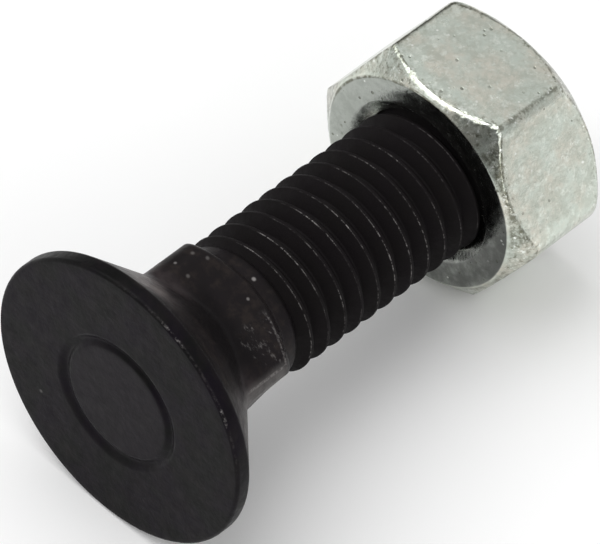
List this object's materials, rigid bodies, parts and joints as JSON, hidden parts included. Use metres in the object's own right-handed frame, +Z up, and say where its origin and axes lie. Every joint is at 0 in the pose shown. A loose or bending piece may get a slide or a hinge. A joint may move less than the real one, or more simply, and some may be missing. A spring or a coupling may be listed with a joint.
{
  "type": "plough bolt",
  "caption": "Flat countersunk square-neck bolt with a coarse thread and a hexagon nut screwed on near its end, lying on its side.",
  "frame": {"origin": "on the ground, under the middle of the part's length and width", "axes": "+Z up; +X along the bolt's length from its head to its nut, level with the ground, while the axis itself dips 3.6 degrees towards the nut; +Y across it"},
  "size_m": [0.0422, 0.0236, 0.0237],
  "materials": {
    "black_steel": "black oxide, oiled, worn bright on the thread's crests",
    "zinc_plated_steel": "satin zinc plating, mottled"
  },
  "bodies": {
    "bolt_body": {"bolt": "black_steel"},
    "nut_body": {"hex_nut": "zinc_plated_steel"}
  },
  "joints": [
    {"name": "nut_travel", "type": "slide", "parent": "bolt_body", "child": "nut_body", "axis": [0.998, 0, -0.0633], "range_m": [-0.0172, 0.0108]}
  ]
}
